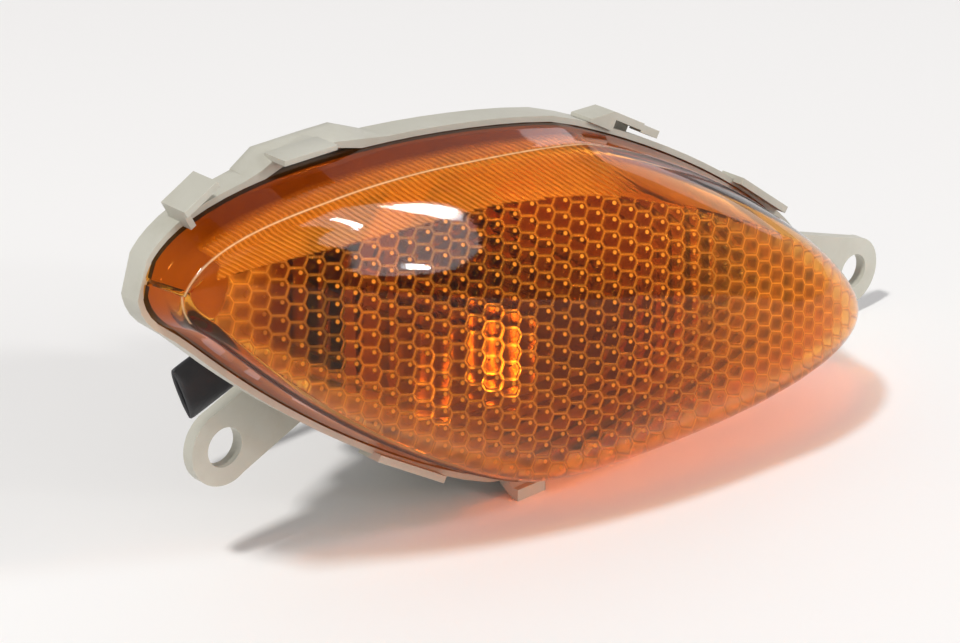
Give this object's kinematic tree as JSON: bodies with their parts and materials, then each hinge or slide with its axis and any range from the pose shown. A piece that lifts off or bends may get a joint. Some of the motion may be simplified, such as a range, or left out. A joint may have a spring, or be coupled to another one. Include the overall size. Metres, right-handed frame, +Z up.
{
  "type": "motorcycle turn signal",
  "caption": "Amber fairing turn signal with a honeycomb lens snapped into a light grey housing with mounting ears, reflector, bayonet bulb and twist-out holder.",
  "frame": {"origin": "centre of the bounding box in plan, at the table the lamp stands on", "axes": "+X runs along the lamp toward its high, blunt end, the lens faces -Y, +Z is up; the lens rim lies in an XZ plane"},
  "size_m": [0.175, 0.075, 0.0715],
  "materials": {
    "housing_plastic": "light warm grey moulded plastic, satin, with soft flow marks and a thin gloss on edges",
    "amber_lens": "clear amber moulded plastic, polished outside, honeycomb and fine flutes moulded inside",
    "black_rubber": "soft black rubber, dull",
    "reflector_coat": "vacuum-metallised plastic, bright",
    "screw_steel": "zinc-plated steel",
    "bulb_glass": "clear bulb glass",
    "brass": "plain brass, slightly dulled",
    "lamp_wire": "dull lead wire and coil",
    "solder": "solder, soft grey",
    "plated_steel": "plated sheet steel",
    "black_plastic": "black moulded plastic",
    "fibre_board": "pressed fibre board, brown",
    "sleeve_black": "soft black sleeving, slightly glossy, squashed flat",
    "filter_foam": "open foam, off-white"
  },
  "bodies": {
    "root": {"housing": "housing_plastic", "lens": "amber_lens", "lens_gasket": "black_rubber", "reflector": "reflector_coat", "reflector_screw_left": "screw_steel", "reflector_screw_right": "screw_steel", "bulb_glass": "bulb_glass", "bulb_base": "brass", "bulb_filament": "lamp_wire", "bulb_contact": "solder", "socket_shell": "plated_steel", "socket_holder": "black_plastic", "socket_seal": "black_rubber", "contact_carrier": "fibre_board", "contact_spring": "plated_steel", "contact_button": "brass", "live_terminal": "brass", "earth_terminal": "plated_steel", "wire_sleeve": "sleeve_black", "breather_cap": "black_plastic", "breather_filter": "filter_foam"}
  },
  "joints": []
}
